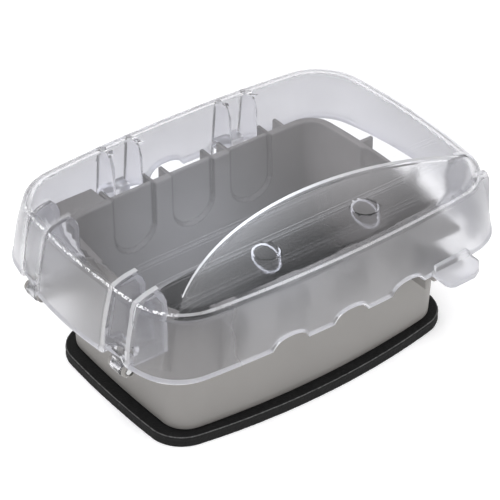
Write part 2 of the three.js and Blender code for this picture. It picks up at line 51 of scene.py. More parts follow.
GASKET = dict(half_length=63.8, half_width=42.6, long_bow=7.4, short_bow=2.3, corner=14)
FOOT = dict(half_length=59.0, half_width=38.6, long_bow=5.2, short_bow=1.6, corner=10)
RIM = dict(half_length=59.6, half_width=39.0, long_bow=0.5, short_bow=2.6, corner=10)
LID_EDGE = dict(half_length=79.3, half_width=54.9, long_bow=4.8, short_bow=9.4, corner=18.5)
LID_SHOULDER = dict(half_length=74.7, half_width=52.7, long_bow=5.2, short_bow=5.6, corner=21.5)

GASKET_THICKNESS = 4.2
BASE_BOTTOM = 4.5
FLOOR_TOP = 7.0
RIM_HEIGHT = 52.6
BASE_WALL = 3.0
DEVICE_OPENING = (76, 52, 7)  # length, width, corner

LID_BOTTOM = 41.8
SHOULDER_HEIGHT = 65.2
LID_TOP = 70.0
LID_WALL = 2.2
SKIRT_BULGE = 0.6
LIFT_FADE = 18.0  # the height over which the lower edge's arches fade out of the skirt's rows
TOP_INSET = 1.94  # from the shoulder in to the crown's edge
CROWN_EDGE = 67.6
CROWN_FADE = 5.2  # the distance over which the crown levels out
LENS_HEIGHT = 69.0
LENS_CENTRE = (8.0, -124.4)
LENS_RADIUS = 107.5
RISER_WIDTH = 0.35  # the crown steps down to the lens over this
# The shoulder's round, as (inset, height).
SHOULDER_ROUND = [(0.02, 65.5), (0.12, 65.82), (0.32, 66.2), (0.6, 66.6), (0.95, 66.95), (1.4, 67.3)]
# The crown's underside runs parallel to its top, so it meets the inner shoulder a little higher.
INNER_EDGE = LID_TOP - (LID_TOP - CROWN_EDGE) * math.exp(-LID_WALL / CROWN_FADE) - LID_WALL

CORD_PITCH = 25.4
CORD_WIDTH = 14.2
CORD_HEIGHT = 3.8
CORD_PLACES = [(-CORD_PITCH, -1), (0.0, -1), (CORD_PITCH, -1), (0.0, 1)]
KNOCKOUT_PITCH = 25.9
KNOCKOUT_WIDTH = 17.7
KNOCKOUT_DEPTH = 24.6
KNOCKOUT_SKIN = 1.1
FIN = dict(reach=5.5, drop=24.0, thickness=1.5, spacing=7.4, root=1.5)

HINGE_OFFSET = 25.6
HINGE_X = -74.6
HINGE_Z = 38.5
KNUCKLE_RADIUS = 2.8
PIN_BORE = 1.4
KNUCKLE_WIDTH = 5.6
RIB_SPACING = 11.8
RIB_THICKNESS = 2.0
ARM_THICKNESS = 1.5
ARM_OFFSET = 3.85
ARM_TOP = 40.9
EAR_RADIUS = 2.4
NOTCH_TOP = 44.6
WEB_TOP = 48.5
# Each hinge place: along its side, how that side is turned, how far out the axis and the lid's edge
# are, and where the ribs end. The last one stands alone at the right.
HINGE_PLACES = [
    dict(along=-HINGE_OFFSET, turn=0, axis=-HINGE_X, reach=79.3, rib_end=60.0),
    dict(along=HINGE_OFFSET, turn=0, axis=-HINGE_X, reach=79.3, rib_end=60.0),
    dict(along=-HINGE_OFFSET, turn=-90, axis=50.4, reach=54.9, rib_end=40.6),
    dict(along=HINGE_OFFSET, turn=-90, axis=50.4, reach=54.9, rib_end=40.6),
    dict(along=37.5, turn=180, axis=70.2, reach=75.5, rib_end=61.0),
]

TAB = dict(left=36.4, right=54.2, reach=-63.8, root=-52.4, low=41.8, high=44.0)
BOSSES = ((-21.9, -35.7), (20.6, -35.7))
BOSS = dict(outer=4.9, inner=4.3, middle=64.3, slope=0.5)
SIDE_START = 40.0  # a point of the lid's edge farther out than this is on that side

CAMERA_PLACE = (-413.8, -545.6, 540.9)
CAMERA_TARGET = (0.10, 2.25, 36.46)
CAMERA_LENS = 172.8


# ---- mesh helpers ----

def new_piece(name, vertices, faces, smooth=True):
    """A mesh object from points in millimetres in the CAD's own axes."""
    points = np.array(vertices, float)
    points[:, 1] += SHIFT_Y
    mesh = bpy.data.meshes.new(name)
    mesh.from_pydata((points * 0.001).tolist(), [], faces)
    mesh.validate()
    cleaner = bmesh.new()
    cleaner.from_mesh(mesh)
    bmesh.ops.remove_doubles(cleaner, verts=cleaner.verts, dist=1e-7)
    bmesh.ops.recalc_face_normals(cleaner, faces=cleaner.faces)
    cleaner.to_mesh(mesh)
    cleaner.free()
    if smooth:
        mesh.polygons.foreach_set("use_smooth", [True] * len(mesh.polygons))
    obj = bpy.data.objects.new(name, mesh)
    bpy.context.scene.collection.objects.link(obj)
    return obj


def barrel(shape, inset=0.0, counts=(30, 18, 62)):
    """A rounded rectangle whose sides are shallow arcs, anticlockwise from +X, always the same count."""
    half_length = shape["half_length"] - inset
    half_width = shape["half_width"] - inset
    corner = max(shape["corner"] - inset, 1.0)
    long_radius = (half_length ** 2 + shape["long_bow"] ** 2) / (2 * shape["long_bow"])
    short_radius = (half_width ** 2 + shape["short_bow"] ** 2) / (2 * shape["short_bow"])
    long_centre = np.array([0.0, half_width - long_radius])
    short_centre = np.array([half_length - short_radius, 0.0])
    across_vector = short_centre - long_centre
    apart = np.linalg.norm(across_vector)
    reach_long = long_radius - corner
    reach_short = short_radius - corner
    along = (apart ** 2 + reach_long ** 2 - reach_short ** 2) / (2 * apart)
    across = math.sqrt(reach_long ** 2 - along ** 2)
    direction = across_vector / apart
    corner_centre = long_centre + direction * along + np.array([direction[1], -direction[0]]) * across
    short_end = math.atan2(*(corner_centre - short_centre)[::-1])
    long_start = math.atan2(*(corner_centre - long_centre)[::-1])

    def arc(centre, radius, start, end, steps):
        angles = start + (end - start) * np.arange(steps) / steps
        return centre + radius * np.stack([np.cos(angles), np.sin(angles)], 1)

    quarter = np.concatenate([
        arc(short_centre, short_radius, 0, short_end, counts[0]),
        arc(corner_centre, corner, short_end, long_start, counts[1]),
        arc(long_centre, long_radius, long_start, math.pi / 2, counts[2]),
        [[0.0, half_width]],
    ])
    mirrored = quarter[1:-1][::-1] * [-1, 1]
    upper = np.concatenate([quarter, mirrored])
    return np.concatenate([upper, -upper])


OUTLINE_COUNT = len(barrel(LID_EDGE))


def mix_shapes(a, b, amount):
    return {key: a[key] + (b[key] - a[key]) * amount for key in a}


def smoothstep(low, high, value):
    t = np.clip((value - low) / (high - low), 0, 1)
    return t * t * (3 - 2 * t)


def ring_at(outline, z):
    """An outline's points, all at one height."""
    return np.column_stack([outline, np.full(len(outline), z)])


def ring_faces(rows, count):
    """Quads from each ring of points to the next, and from the last one back to the first."""
    faces = []
    for row in range(rows):
        first = row * count
        second = (row + 1) % rows * count
        for i in range(count):
            j = (i + 1) % count
            faces.append((first + i, first + j, second + j, second + i))
    return faces


def nearest(points, outline):
    """For each point, how far the closest point of an outline is, and which one that is."""
    block = 2000
    gap = np.empty(len(points))
    index = np.empty(len(points), int)
    for start in range(0, len(points), block):
        away = np.linalg.norm(points[start:start + block, None, :] - outline[None], axis=2)
        gap[start:start + block] = away.min(1)
        index[start:start + block] = away.argmin(1)
    return gap, index


def apply_modifiers(obj):
    evaluated = obj.evaluated_get(bpy.context.evaluated_depsgraph_get())
    mesh = bpy.data.meshes.new_from_object(evaluated)
    obj.modifiers.clear()
    obj.data = mesh
    return obj


def soften(obj, width):
    """Rounds a block's sharp edges."""
    bevel = obj.modifiers.new("edges", "BEVEL")
    bevel.width = width * MM
    bevel.segments = 2
    bevel.limit_method = "ANGLE"
    bevel.angle_limit = math.radians(40)
    bevel.use_clamp_overlap = True
    return apply_modifiers(obj)


def smooth_by_angle(obj, degrees):
    mesh = obj.data
    mesh.polygons.foreach_set("use_smooth", [True] * len(mesh.polygons))
    mesh.set_sharp_from_angle(angle=math.radians(degrees))


def unite(obj, others, operation="UNION"):
    for other in others:
        cut = obj.modifiers.new("join", "BOOLEAN")
        cut.operation = operation
        cut.object = other
        cut.solver = "MANIFOLD"
    bpy.context.view_layer.update()
    apply_modifiers(obj)
    for other in others:
        bpy.data.objects.remove(other)
    return obj


def plate(name, outline, middle, thickness, turn=0.0, bevel=0.3):
    """An upright plate: an outline in X and Z, extruded along Y about its middle, then turned about Z."""
    count = len(outline)
    points = []
    for side in (-0.5, 0.5):
        for x, z in outline:
            points.append((x, middle + side * thickness, z))
    faces = [tuple(range(count)), tuple(range(count, 2 * count))[::-1]]
    for i in range(count):
        j = (i + 1) % count
        faces.append((i, count + i, count + j, j))
    return soften(new_piece(name, turned(points, turn), faces, smooth=False), bevel)


def turned(points, degrees):
    c, s = math.cos(math.radians(degrees)), math.sin(math.radians(degrees))
    return [(x * c - y * s, x * s + y * c, z) for x, y, z in points]


def flat_block(name, outline, low, high, bevel):
    """A level block: an outline in X and Y between two heights."""
    count = len(outline)
    points = [(x, y, low) for x, y in outline] + [(x, y, high) for x, y in outline]
    faces = [tuple(range(count))[::-1], tuple(range(count, 2 * count))]
    for i in range(count):
        j = (i + 1) % count
        faces.append((i, j, count + j, count + i))
    return soften(new_piece(name, points, faces, smooth=False), bevel)


def bar_along_y(name, x, y, z, radius, length, turn=0.0, bore=0.001):
    """A round bar or tube along Y with softened ends, turned about Z."""
    sides = 48
    rounding = 0.25
    profile = [
        (bore, -length / 2), (radius - rounding, -length / 2), (radius, -length / 2 + rounding),
        (radius, length / 2 - rounding), (radius - rounding, length / 2), (bore, length / 2),
    ]
    points = []
    for r, offset in profile:
        for k in range(sides):
            a = 2 * math.pi * k / sides
            points.append((x + r * math.cos(a), y + offset, z + r * math.sin(a)))
    return new_piece(name, turned(points, turn), ring_faces(len(profile), sides), smooth=False)


def rounded_rectangle(length, width, corner, steps=8):
    points = []
    for sx, sy, start in ((1, 1, 0), (-1, 1, 90), (-1, -1, 180), (1, -1, 270)):
        cx, cy = sx * (length / 2 - corner), sy * (width / 2 - corner)
        for k in range(steps + 1):
            a = math.radians(start + 90 * k / steps)
            points.append((cx + corner * math.cos(a), cy + corner * math.sin(a)))
    return points


def inside_polygon(points, polygon):
    x, y = points[:, 0], points[:, 1]
    inside = np.zeros(len(points), bool)
    x1, y1 = polygon[:, 0], polygon[:, 1]
    x2, y2 = np.roll(x1, -1), np.roll(y1, -1)
    for a, b, c, d in zip(x1, y1, x2, y2):
        if b == d:
            continue
        crosses = ((b > y) != (d > y)) & (x < (c - a) * (y - b) / (d - b) + a)
        inside ^= crosses
    return inside


def resample(polygon, like):
    """Points on a convex polygon's boundary, one in the direction of each point of another outline."""
    poly = np.array(polygon)
    result = []
    starts, ends = poly, np.roll(poly, -1, 0)
    for point in like:
        d = point / np.linalg.norm(point)
        best = None
        for a, b in zip(starts, ends):
            e = b - a
            det = d[0] * -e[1] + d[1] * e[0]
            if abs(det) < 1e-9:
                continue
            t = (a[0] * -e[1] + a[1] * e[0]) / det
            u = (d[0] * a[1] - d[1] * a[0]) / det
            if t > 0 and -1e-6 <= u <= 1 + 1e-6 and (best is None or t > best):
                best = t
        result.append(d * best)
    return np.array(result)


# ---- lid shell ----

def skirt_outline(z, inset):
    amount = (z - LID_BOTTOM) / (SHOULDER_HEIGHT - LID_BOTTOM)
    return barrel(mix_shapes(LID_EDGE, LID_SHOULDER, amount), inset)


def edge_lift():
    """How far the lid's lower edge is lifted at each point round it: cord arches and hinge notches."""
    outline = skirt_outline(LID_BOTTOM, 0)
    lift = np.zeros(len(outline))
    for x, side in CORD_PLACES:
        on_side = outline[:, 1] * side > SIDE_START
        u = np.clip(np.abs(outline[:, 0] - x) / (CORD_WIDTH / 2), 0, 1)
        lift = np.maximum(lift, np.where(on_side, CORD_HEIGHT * np.sqrt(1 - u ** 2.2), 0))
    half = (RIB_SPACING - RIB_THICKNESS) / 2
    ramp_half = 0.35
    for place in HINGE_PLACES:
        a = math.radians(place["turn"])
        local_x = outline[:, 0] * math.cos(a) + outline[:, 1] * math.sin(a)
        local_y = -outline[:, 0] * math.sin(a) + outline[:, 1] * math.cos(a)
        notch = smoothstep(half + ramp_half, half - ramp_half, np.abs(local_y - place["along"]))
        notch = np.where(local_x < -SIDE_START, notch, 0)
        lift = np.maximum(lift, notch * (NOTCH_TOP - LID_BOTTOM))
    return lift


def skirt_rows(profile, lift):
    """Rings of the skirt from (height above the edge, inset) pairs. The lower rows follow the edge's lift."""
    rows = []
    for height, inset in profile:
        z = LID_BOTTOM + height
        raised = z + lift * max(0.0, 1 - height / LIFT_FADE)
        rows.append(np.column_stack([skirt_outline(z, inset), raised]))
    return rows


def waist(low, high, steps, inset):
    """The skirt's wall, which bulges a little, between two shares of its height."""
    top = SHOULDER_HEIGHT - LID_BOTTOM
    return [(top * t, inset - SKIRT_BULGE * math.sin(math.pi * t)) for t in np.linspace(low, high, steps)]


def outer_rows(lift):
    """The lid's outside, from its beaded lower edge up to the crown's edge."""
    bead = [(0.0, 0.35), (0.06, 0.05), (0.22, -0.3), (0.5, -0.5), (1.2, -0.52), (1.55, -0.42),
            (1.85, -0.2), (2.15, -0.12)]
    shoulder = (SHOULDER_HEIGHT - LID_BOTTOM, 0.0)
    rows = skirt_rows(bead + waist(0.12, 0.96, 12, 0.0) + [shoulder], lift)
    rows += [ring_at(barrel(LID_SHOULDER, inset), z) for inset, z in SHOULDER_ROUND]
    rows.append(ring_at(barrel(LID_SHOULDER, TOP_INSET), CROWN_EDGE))
    return rows


def inner_rows(lift):
    """The lid's inside, from the crown's edge down to the lower edge."""
    rows = [ring_at(barrel(LID_SHOULDER, LID_WALL + TOP_INSET), INNER_EDGE)]
    lift_step = (INNER_EDGE - CROWN_EDGE + LID_WALL) / (len(SHOULDER_ROUND) + 1)
    for step, (inset, z) in reversed(list(enumerate(SHOULDER_ROUND))):
        rows.append(ring_at(barrel(LID_SHOULDER, LID_WALL + inset), z - LID_WALL + lift_step * step))
    lip = [(0.9, LID_WALL), (0.3, LID_WALL - 0.02), (0.08, LID_WALL - 0.12), (0.0, LID_WALL - 0.4)]
    return rows + skirt_rows(waist(0.9, 0.08, 10, LID_WALL) + lip, lift)


def crown_height(points):
    """The crown's height from how far each point is inside the shoulder."""
    distance, _ = nearest(points, barrel(LID_SHOULDER))
    depth = np.maximum(distance - TOP_INSET, 0)
    return LID_TOP - (LID_TOP - CROWN_EDGE) * np.exp(-depth / CROWN_FADE)


def cap_grid(ring, lens_radius):
    """Points and triangles that fill a ring, with two arcs of edges where the lens steps down."""
    spacing = 2.2
    inner = ring.mean(0) + (ring - ring.mean(0)) * 0.985
    gx, gy = np.meshgrid(np.arange(-76, 76, spacing), np.arange(-54, 54, spacing))
    gx[1::2] += spacing / 2
    grid = np.column_stack([gx.ravel(), gy.ravel()])
    centre = np.array(LENS_CENTRE)
    radial = np.linalg.norm(grid - centre, axis=1)
    grid = grid[inside_polygon(grid, inner) & (np.abs(radial - lens_radius) > spacing * 0.6)]
    points = [tuple(p) for p in ring]
    edges = [(i, (i + 1) % len(ring)) for i in range(len(ring))]
    for radius in (lens_radius, lens_radius + RISER_WIDTH):
        angles = np.linspace(math.radians(38), math.radians(142), 420)
        arc = centre + radius * np.column_stack([np.cos(angles), np.sin(angles)])
        arc = arc[inside_polygon(arc, inner)]
        start = len(points)
        points += [tuple(p) for p in arc]
        edges += [(start + k, start + k + 1) for k in range(len(arc) - 1)]
    points += [tuple(p) for p in grid]
    result = delaunay_2d_cdt([Vector(p) for p in points], edges, [], 0, 1e-7)
    flat = np.array([tuple(v) for v in result[0]])
    triangles = [tuple(face) for face in result[2]]
    middles = np.array([flat[list(face)].mean(0) for face in triangles])
    keep = inside_polygon(middles, ring)
    return flat, [face for face, inside in zip(triangles, keep) if inside]


def make_lid_shell():
    lift = edge_lift()
    outer = outer_rows(lift)
    inner = inner_rows(lift)
    vertices = np.concatenate(outer + inner)
    faces = ring_faces(len(outer) + len(inner), OUTLINE_COUNT)
    # No wall joins the crown's outer edge to its inner one: each is filled by a face of the crown.
    band = (len(outer) - 1) * OUTLINE_COUNT
    del faces[band:band + OUTLINE_COUNT]
    for ring, edge, drop in ((outer[-1], CROWN_EDGE, 0.0), (inner[0], INNER_EDGE, LID_WALL)):
        lens_radius = LENS_RADIUS - drop * 0.2
        flat, triangles = cap_grid(ring[:, :2], lens_radius)
        z = crown_height(flat)
        radial = np.linalg.norm(flat - np.array(LENS_CENTRE), axis=1)
        in_lens = radial < lens_radius + RISER_WIDTH * 0.5
        z = np.where(in_lens, np.minimum(z, LENS_HEIGHT), z) - drop
        z[:len(ring)] = edge
        start = len(vertices)
        vertices = np.concatenate([vertices, np.column_stack([flat, z])])
        for face in triangles:
            face = face[::-1] if drop else face
            faces.append(tuple(start + k for k in face))
    return new_piece("clear_lid", vertices, faces)


def rib_outline(reach, end):
    """A rib inside the skirt: its foot at the lid's edge, its free end chamfered at the top."""
    foot = LID_BOTTOM + 0.2
    top = LID_TOP - 2.6
    return [
        (-reach + 3.6, foot), (-end, foot), (-end, LID_TOP - 7.5), (-end - 1.2, LID_TOP - 4.6),
        (-end - 3.2, top), (-reach + 7.0, top), (-reach + 5.6, SHOULDER_HEIGHT - 1.0),
    ]


def hinge_parts():
    """Ribs, knuckles and their webs at each hinge place."""
    parts = []
    for number, place in enumerate(HINGE_PLACES):
        along, turn, axis = place["along"], place["turn"], -place["axis"]
        outline = rib_outline(place["reach"], place["rib_end"])
        for side in (-0.5, 0.5):
            parts.append(plate(f"rib_{number}_{side}", outline, along + side * RIB_SPACING,
                               RIB_THICKNESS, turn, bevel=0.35))
        web = [(axis - 2.2, HINGE_Z), (axis + 2.2, HINGE_Z), (axis + 4.0, WEB_TOP), (axis - 1.2, WEB_TOP)]
        parts.append(plate(f"web_{number}", web, along, KNUCKLE_WIDTH - 0.6, turn))
        tie_foot = NOTCH_TOP + 0.4
        tie = [(axis - 1.8, tie_foot), (axis + 4.0, tie_foot), (axis + 4.2, WEB_TOP), (axis - 1.6, WEB_TOP)]
        parts.append(plate(f"tie_{number}", tie, along, RIB_SPACING, turn))
        parts.append(bar_along_y(f"barrel_{number}", axis, along, HINGE_Z, KNUCKLE_RADIUS,
                                 KNUCKLE_WIDTH, turn))
    return parts


def finger_tab():
    """The tab at the front right and the low rail where it leaves the skirt."""
    left, right, reach, root = (TAB[key] for key in ("left", "right", "reach", "root"))
    outline = [
        (left, root), (left, reach + 2.6), (left + 0.7, reach + 0.9), (left + 2.4, reach),
        (right - 6.4, reach), (right - 3.4, reach + 1.6), (right, reach + 5.4), (right, root),
    ]
    tab = flat_block("tab", outline, TAB["low"] + 0.02, TAB["high"], bevel=0.5)
    rail = flat_block("rail", [(37.4, -55.1), (53.2, -54.9), (53.2, -52.6), (37.4, -52.8)],
                      TAB["high"] - 0.4, TAB["high"] + 2.2, bevel=0.6)
    return [tab, rail]


def lens_bosses():
    """Thin round tubes under the lens, their lower ends cut on a slope."""
    parts = []
    sides = 72
    rounding = 0.12
    top = LENS_HEIGHT - LID_WALL + 0.3
    outer = BOSS["outer"]
    inner = BOSS["inner"]
    # The tube's section as (radius, height, whether that height is above the sloped end).
    profile = [(inner, top, False), (inner, rounding, True), (inner + rounding, 0, True),
               (outer - rounding, 0, True), (outer, rounding, True), (outer, top, False)]
    for number, (x, y) in enumerate(BOSSES):
        points = []
        for radius, z, sloped in profile:
            for k in range(sides):
                a = 2 * math.pi * k / sides
                dx = radius * math.cos(a)
                dy = radius * math.sin(a)
                lower = BOSS["middle"] + BOSS["slope"] * dy if sloped else 0
                points.append((x + dx, y + dy, z + lower))
        parts.append(new_piece(f"boss_{number}", points, ring_faces(len(profile), sides), smooth=False))
    return parts


def on_bead(centres):
    """Faces of the skirt's rounded lower edge, which follows the arches and notches."""
    low = np.nonzero(centres[:, 2] < LID_BOTTOM + 6)[0]
    gap, place = nearest(centres[low, :2], skirt_outline(LID_BOTTOM, 0))
    height = centres[low, 2] - LID_BOTTOM - edge_lift()[place]
    found = np.zeros(len(centres), bool)
    found[low] = (gap < 2.6) & (height < 0.5) & (height > -0.3)
    return found


def on_shoulder(centres):
    """Faces of the outside of the shoulder's round."""
    high = np.nonzero((centres[:, 2] > 66.3) & (centres[:, 2] < 67.1))[0]
    gap, _ = nearest(centres[high, :2], barrel(LID_SHOULDER, 0.4))
    found = np.zeros(len(centres), bool)
    found[high] = gap < 1.5
    return found


def on_riser(centres, normals):
    """Faces of the lens's step, which are the steep ones near its arc."""
    radial = np.linalg.norm(centres[:, :2] - np.array(LENS_CENTRE), axis=1)
    near = np.abs(radial - LENS_RADIUS - RISER_WIDTH / 2) < 0.5
    steep = np.abs(normals[:, 2]) < 0.97
    return near & steep & (centres[:, 2] > LENS_HEIGHT - 0.1)


def on_bosses(centres):
    """Faces of the bosses' lower rims, and of their tubes above those."""
    rims = np.zeros(len(centres), bool)
    tubes = np.zeros(len(centres), bool)
    for x, y in BOSSES:
        away = np.hypot(centres[:, 0] - x, centres[:, 1] - y)
        tube = np.abs(away - (BOSS["outer"] + BOSS["inner"]) / 2) < 0.45
        above = centres[:, 2] - BOSS["middle"] - BOSS["slope"] * (centres[:, 1] - y)
        rims |= tube & (above < 0.16)
        tubes |= tube & (above >= 0.16) & (centres[:, 2] < LENS_HEIGHT - 0.3)
    return rims, tubes


def on_far_ribs(centres):
    """Faces of the two rib pairs on the far long side."""
    from_rib = np.abs(np.abs(np.abs(centres[:, 0]) - HINGE_OFFSET) - RIB_SPACING / 2)
    inside = (centres[:, 1] > 40.3) & (centres[:, 1] < 50.2) & (centres[:, 2] > NOTCH_TOP)
    return inside & (from_rib < 1.05)


def mark_edges(lid):
    """Gives the lid's edges slots of their own: 1 bead, lens step and boss rims, painted as highlights,
    2 the shoulder's round, painted as a highlight line, 3 thin webs that hardly show."""
    mesh = lid.data
    centres = np.empty(len(mesh.polygons) * 3)
    normals = np.empty(len(mesh.polygons) * 3)
    mesh.polygons.foreach_get("center", centres)
    mesh.polygons.foreach_get("normal", normals)
    centres = centres.reshape(-1, 3) * 1000 - [0, SHIFT_Y, 0]
    normals = normals.reshape(-1, 3)
    rims, tubes = on_bosses(centres)
    # Slot 1 and slot 2, set below, are painted highlights.
    edges = on_bead(centres) | on_riser(centres, normals) | rims
    thin = tubes | on_far_ribs(centres)
    indices = np.select([edges, on_shoulder(centres), thin], [1, 2, 3], 0).astype(np.int32)
    mesh.polygons.foreach_set("material_index", indices)


def make_lid():
    shell = make_lid_shell()
    unite(shell, hinge_parts() + finger_tab() + lens_bosses())
    bores = []
    for number, place in enumerate(HINGE_PLACES):
        bores.append(bar_along_y(f"bore_{number}", -place["axis"], place["along"], HINGE_Z, PIN_BORE,
                                 KNUCKLE_WIDTH + 2, place["turn"]))
    unite(shell, bores, "DIFFERENCE")
    smooth_by_angle(shell, 34)
    return shell


# ---- base tub ----

def tub_outline(z, inset):
    amount = (z - BASE_BOTTOM) / (RIM_HEIGHT - BASE_BOTTOM)
    return barrel(mix_shapes(FOOT, RIM, amount), inset, counts=(30, 10, 78))


def knockout_depth(points, z):
    """How deep the thin panels are let into the inner wall at these points."""
    depth = np.zeros(len(points))
    half = KNOCKOUT_WIDTH / 2
    bottom = RIM_HEIGHT - KNOCKOUT_DEPTH + half
    x, y = points[:, 0], points[:, 1]
    long_side = np.abs(y) > 33.5
    short_side = (np.abs(x) > 53.5) & (np.abs(y) < 20)
    below = np.minimum(z - bottom, 0)
    for middle in (-KNOCKOUT_PITCH, 0, KNOCKOUT_PITCH):
        away = np.hypot(x - middle, below)
        depth = np.maximum(depth, np.where(long_side, smoothstep(half + 0.25, half - 0.25, away), 0))
    away = np.hypot(y, below)
    depth = np.maximum(depth, np.where(short_side, smoothstep(half + 0.25, half - 0.25, away), 0))
    return depth * (BASE_WALL - 0.4 - KNOCKOUT_SKIN)


def make_tub():
    outer = [(BASE_BOTTOM, 0.8), (BASE_BOTTOM + 0.25, 0.25), (BASE_BOTTOM + 0.8, 0.0)]
    outer += [(z, 0.0) for z in np.linspace(BASE_BOTTOM + 3, RIM_HEIGHT - 0.7, 26)]
    outer += [(RIM_HEIGHT - 0.25, 0.12), (RIM_HEIGHT, 0.55)]
    rows = [ring_at(tub_outline(z, inset), z) for z, inset in outer]
    inner = [(RIM_HEIGHT, BASE_WALL - 0.55), (RIM_HEIGHT - 0.2, BASE_WALL - 0.15),
             (RIM_HEIGHT - 0.6, BASE_WALL)]
    inner += [(z, BASE_WALL) for z in np.linspace(RIM_HEIGHT - 1.2, FLOOR_TOP + 2.0, 72)]
    inner += [(FLOOR_TOP + 1.2, BASE_WALL + 0.15), (FLOOR_TOP + 0.6, BASE_WALL + 0.5),
              (FLOOR_TOP + 0.18, BASE_WALL + 1.1), (FLOOR_TOP, BASE_WALL + 2.0)]
    for z, inset in inner:
        plain = tub_outline(z, inset)
        outward = tub_outline(z, inset - 1.0) - plain
        deep = knockout_depth(tub_outline(z, BASE_WALL), z)
        rows.append(ring_at(plain + outward * deep[:, None], z))
    length, width, corner = DEVICE_OPENING
    opening = resample(rounded_rectangle(length - 2, width - 2, corner - 1), rows[0][:, :2])
    rows += [ring_at(opening, FLOOR_TOP), ring_at(opening, BASE_BOTTOM)]
    tub = new_piece("tub", np.concatenate(rows), ring_faces(len(rows), len(opening)))
    smooth_by_angle(tub, 40)
    return tub


def fin_plate(name, along, turn, wall_face, top=RIM_HEIGHT - 0.02):
    """A fin standing out of a wall, drawn on the -X side and turned from there by so many degrees."""
    low = RIM_HEIGHT - FIN["drop"]
    root = FIN["root"] - wall_face
    tip = -wall_face - FIN["reach"]
    outline = [(root, top), (root, low), (-wall_face, low), (tip, RIM_HEIGHT - FIN["drop"] / 3), (tip, top)]
    return plate(name, outline, along, FIN["thickness"], turn)


def fins():
    parts = []
    for turn, shelf_side in ((90, 1), (-90, -1)):
        for number, place in enumerate((-1.5, -0.5, 0.5, 1.5)):
            for side in (-0.5, 0.5):
                along = place * KNOCKOUT_PITCH + side * FIN["spacing"]
                # On both long sides the corner shelf covers the fin farthest out on its side.
                top = RIM_HEIGHT - (1.2 if along * shelf_side > 41 else 0.02)
                parts.append(fin_plate(f"fin_long_{turn}_{number}_{side}", along, turn,
                                       RIM["half_width"] - 0.6, top))
    for turn in (0, 180):
        for side in (-0.5, 0.5):
            parts.append(fin_plate(f"fin_short_{turn}_{side}", side * KNOCKOUT_PITCH, turn,
                                   RIM["half_length"] - 0.8))
    return parts


def hinge_arms():
    """The two pairs of cheeks that hold the pins, each an arm with a round ear."""
    parts = []
    low = HINGE_Z - EAR_RADIUS
    arm = [(-57.6, 30.5), (-57.6, ARM_TOP), (HINGE_X, ARM_TOP), (HINGE_X, low), (HINGE_X + 9, low)]
    for y in (-HINGE_OFFSET, HINGE_OFFSET):
        for side in (-ARM_OFFSET, ARM_OFFSET):
            parts.append(plate(f"arm_{y}_{side}", arm, y + side, ARM_THICKNESS, bevel=0.25))
            parts.append(bar_along_y(f"ear_{y}_{side}", HINGE_X, y + side, HINGE_Z, EAR_RADIUS,
                                     ARM_THICKNESS, bore=PIN_BORE))
    return parts


def shelves():
    """The catch shelf on its two webs, and the shelves at two corners."""
    shelf = [(37, -54.5), (51, -54.5), (51, -36), (37, -36)]
    parts = [flat_block("catch_shelf", shelf, 39.4, 41.4, bevel=0.5)]
    for x in (37, 49):
        web = [(x, -50.5), (x + 2, -50.5), (x + 2, -36), (x, -36)]
        parts.append(flat_block(f"catch_web_{x}", web, 33.6, 40.4, bevel=0.4))
    corners = [(-53.5, 37), (-36.5, 37), (-36.5, 47.5), (-53.5, 47.5)]
    for sign in (1, -1):
        outline = [(x * sign, y * sign) for x, y in corners]
        parts.append(flat_block(f"corner_shelf_{sign}", outline, 50.4, RIM_HEIGHT - 0.02, bevel=0.4))
    return parts


def make_base():
    tub = make_tub()
    others = fins() + hinge_arms() + shelves()
    for part in others:
        smooth_by_angle(part, 35)
    for part in others:
        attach(part, "base")
    return tub, others


# ---- gasket ----

def make_gasket():
    """The foam sheet, its cut edge uneven."""
    count = len(barrel(GASKET))
    opening = resample(rounded_rectangle(*DEVICE_OPENING), barrel(GASKET))
    # The cut edge from bottom to top, as (height, inset).
    edge = [(0.0, 0.45), (0.15, 0.12), (0.5, 0.0), (1.2, 0.02), (2.1, 0.1), (3.0, 0.04), (3.7, 0.0),
            (4.05, 0.14), (GASKET_THICKNESS, 0.5)]
    generator = np.random.default_rng(3)
    thrice = np.tile(generator.normal(0, 1, count), 3)
    wobble = np.convolve(thrice, np.ones(7) / 7, "same")[count:2 * count] * 0.12
    rows = []
    for z, inset in edge:
        outline = barrel(GASKET, inset)
        outward = barrel(GASKET, inset - 1) - outline
        rough = generator.normal(0, 0.035, count) + wobble
        rows.append(ring_at(outline - outward * np.abs(rough)[:, None], z))
    outer = barrel(GASKET, 0.5)
    for t in (0.05, 0.12, 0.25, 0.5, 0.8, 1.0):
        rows.append(ring_at(outer + (opening - outer) * t, GASKET_THICKNESS))
    rows.append(ring_at(opening, 0.0))
    gasket = new_piece("foam_gasket", np.concatenate(rows), ring_faces(len(rows), count))
    smooth_by_angle(gasket, 50)
    return gasket


# ---- material helpers, in metres ----

def new_material(name):
    material = bpy.data.materials.new(name)
    material.use_nodes = True
    tree = material.node_tree
    shader = tree.nodes["Principled BSDF"]
    return material, tree, shader


def link(tree, source, target):
    tree.links.new(source, target)


def object_coordinates(tree):
    return tree.nodes.new("ShaderNodeTexCoord").outputs["Object"]


def noise(tree, vector, scale, detail, roughness=0.5):
    node = tree.nodes.new("ShaderNodeTexNoise")
    node.inputs["Scale"].default_value = scale
    node.inputs["Detail"].default_value = detail
    node.inputs["Roughness"].default_value = roughness
    link(tree, vector, node.inputs["Vector"])
    return node.outputs["Fac"]


def ramp(tree, value, stops):
    node = tree.nodes.new("ShaderNodeValToRGB")
    while len(node.color_ramp.elements) < len(stops):
        node.color_ramp.elements.new(0.5)
    for element, (position, colour) in zip(node.color_ramp.elements, stops):
        element.position = position
        element.color = (*colour, 1.0)
    link(tree, value, node.inputs["Fac"])
    return node.outputs["Color"]


